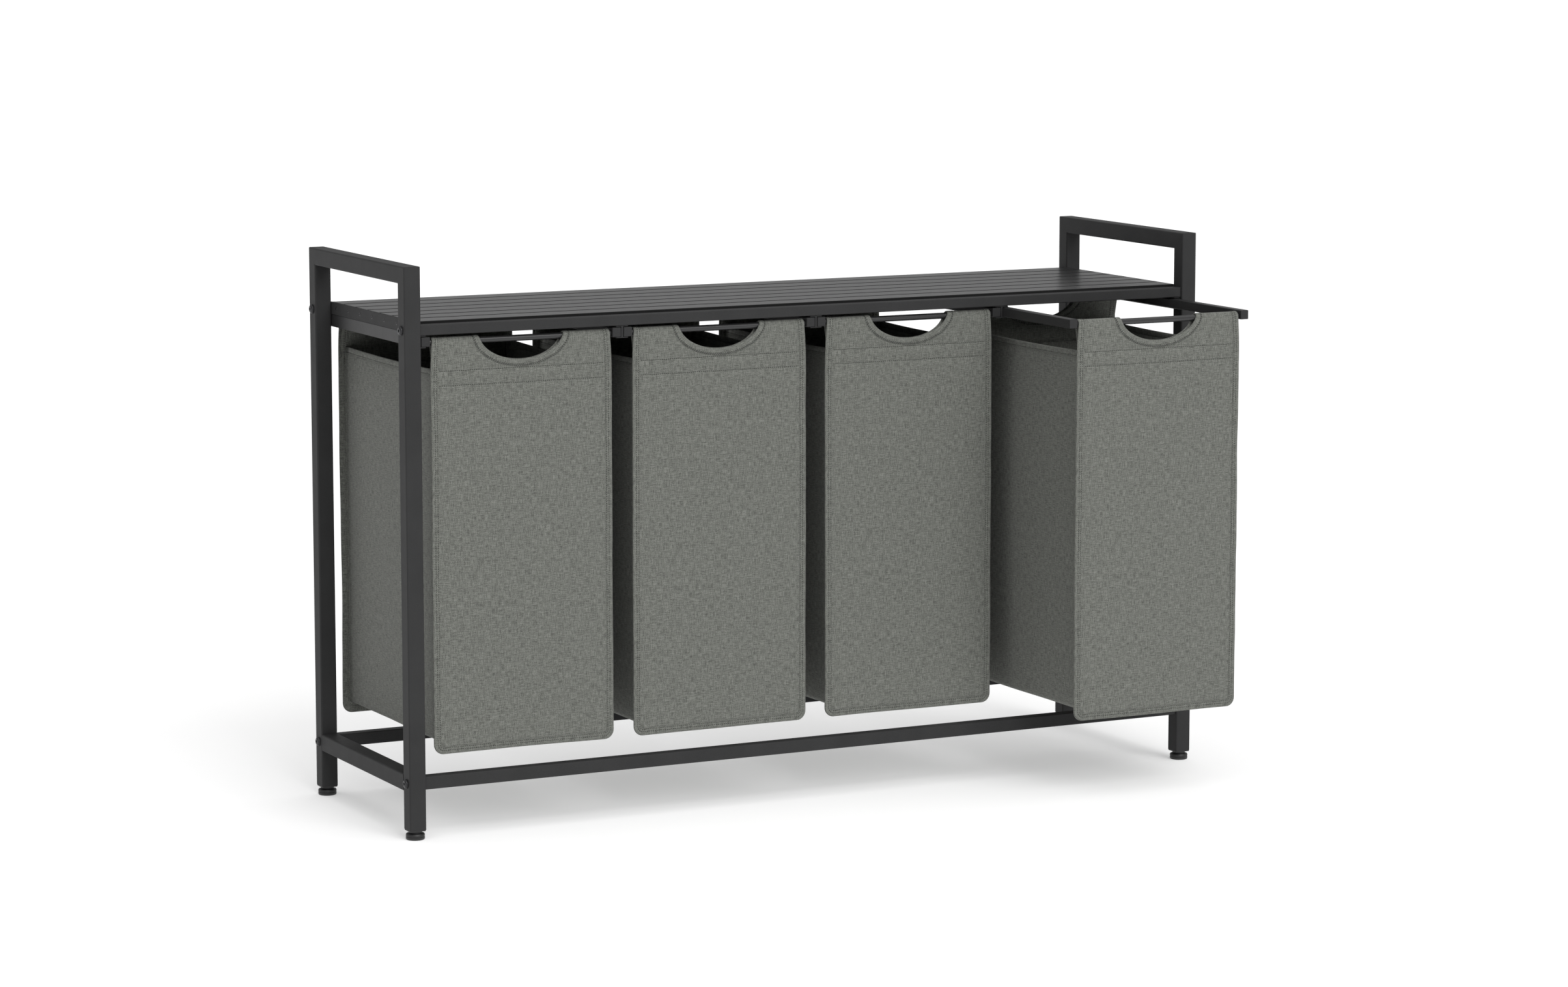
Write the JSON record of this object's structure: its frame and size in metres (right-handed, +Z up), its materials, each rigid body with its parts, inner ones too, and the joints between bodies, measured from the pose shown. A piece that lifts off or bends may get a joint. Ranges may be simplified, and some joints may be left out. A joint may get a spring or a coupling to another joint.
{
  "type": "laundry sorter",
  "caption": "Free-standing laundry sorter: slatted metal shelf with raised end handles over side-by-side pull-out fabric bags, on levelling feet.",
  "frame": {"origin": "on the floor, under the middle of the whole box with the right-hand bag standing open as at rest", "axes": "+X along the length towards the right-hand end, +Y towards the back, +Z up"},
  "size_m": [1.152, 0.495, 0.72],
  "materials": {
    "frame_paint": "matt powder coat, charcoal",
    "slat_paint": "matt powder coat, charcoal",
    "rail_paint": "satin powder coat, charcoal",
    "bag_cloth": "woven polyester, heathered grey-green",
    "foot_plastic": "moulded, fine texture",
    "bolt_steel": "black oxide, satin"
  },
  "bodies": {
    "stand": {"left_front_leg": "frame_paint", "left_rear_leg": "frame_paint", "left_top_bar": "frame_paint", "left_side_rail": "frame_paint", "right_front_leg": "frame_paint", "right_rear_leg": "frame_paint", "right_top_bar": "frame_paint", "right_side_rail": "frame_paint", "front_lower_rail": "frame_paint", "rear_lower_rail": "frame_paint", "shelf_front_beam": "frame_paint", "shelf_rear_beam": "frame_paint", "shelf_left_end_plate": "frame_paint", "shelf_right_end_plate": "frame_paint", "shelf_slat_1": "slat_paint", "shelf_slat_2": "slat_paint", "shelf_slat_3": "slat_paint", "shelf_slat_4": "slat_paint", "shelf_slat_5": "slat_paint", "shelf_slat_6": "slat_paint", "shelf_slat_7": "slat_paint", "track_1": "rail_paint", "track_2": "rail_paint", "track_3": "rail_paint", "track_4": "rail_paint", "track_5": "rail_paint", "left_front_upper_bolt": "bolt_steel", "left_front_lower_bolt": "bolt_steel", "left_rear_upper_bolt": "bolt_steel", "left_rear_lower_bolt": "bolt_steel", "right_front_upper_bolt": "bolt_steel", "right_front_lower_bolt": "bolt_steel", "right_rear_upper_bolt": "bolt_steel", "right_rear_lower_bolt": "bolt_steel"},
    "bag_1": {"bag_1_left_rail": "rail_paint", "bag_1_right_rail": "rail_paint", "bag_1_front_rod": "rail_paint", "bag_1_rear_rod": "rail_paint", "bag_1_cloth": "bag_cloth"},
    "bag_2": {"bag_2_left_rail": "rail_paint", "bag_2_right_rail": "rail_paint", "bag_2_front_rod": "rail_paint", "bag_2_rear_rod": "rail_paint", "bag_2_cloth": "bag_cloth"},
    "bag_3": {"bag_3_left_rail": "rail_paint", "bag_3_right_rail": "rail_paint", "bag_3_front_rod": "rail_paint", "bag_3_rear_rod": "rail_paint", "bag_3_cloth": "bag_cloth"},
    "bag_4": {"bag_4_left_rail": "rail_paint", "bag_4_right_rail": "rail_paint", "bag_4_front_rod": "rail_paint", "bag_4_rear_rod": "rail_paint", "bag_4_cloth": "bag_cloth"},
    "left_front_foot": {"left_front_foot": "foot_plastic"},
    "left_rear_foot": {"left_rear_foot": "foot_plastic"},
    "right_front_foot": {"right_front_foot": "foot_plastic"},
    "right_rear_foot": {"right_rear_foot": "foot_plastic"}
  },
  "joints": [
    {"name": "bag_1_slide", "type": "slide", "parent": "stand", "child": "bag_1", "axis": [0, -1, 0], "range_m": [0, 0.205]},
    {"name": "bag_2_slide", "type": "slide", "parent": "stand", "child": "bag_2", "axis": [0, -1, 0], "range_m": [0, 0.205]},
    {"name": "bag_3_slide", "type": "slide", "parent": "stand", "child": "bag_3", "axis": [0, -1, 0], "range_m": [0, 0.205]},
    {"name": "bag_4_slide", "type": "slide", "parent": "stand", "child": "bag_4", "axis": [0, -1, 0], "range_m": [-0.172, 0.033]},
    {"name": "left_front_foot_screw", "type": "slide", "parent": "stand", "child": "left_front_foot", "axis": [0, 0, 1], "range_m": [-0.012, 0]},
    {"name": "left_rear_foot_screw", "type": "slide", "parent": "stand", "child": "left_rear_foot", "axis": [0, 0, 1], "range_m": [-0.012, 0]},
    {"name": "right_front_foot_screw", "type": "slide", "parent": "stand", "child": "right_front_foot", "axis": [0, 0, 1], "range_m": [-0.012, 0]},
    {"name": "right_rear_foot_screw", "type": "slide", "parent": "stand", "child": "right_rear_foot", "axis": [0, 0, 1], "range_m": [-0.012, 0]}
  ]
}
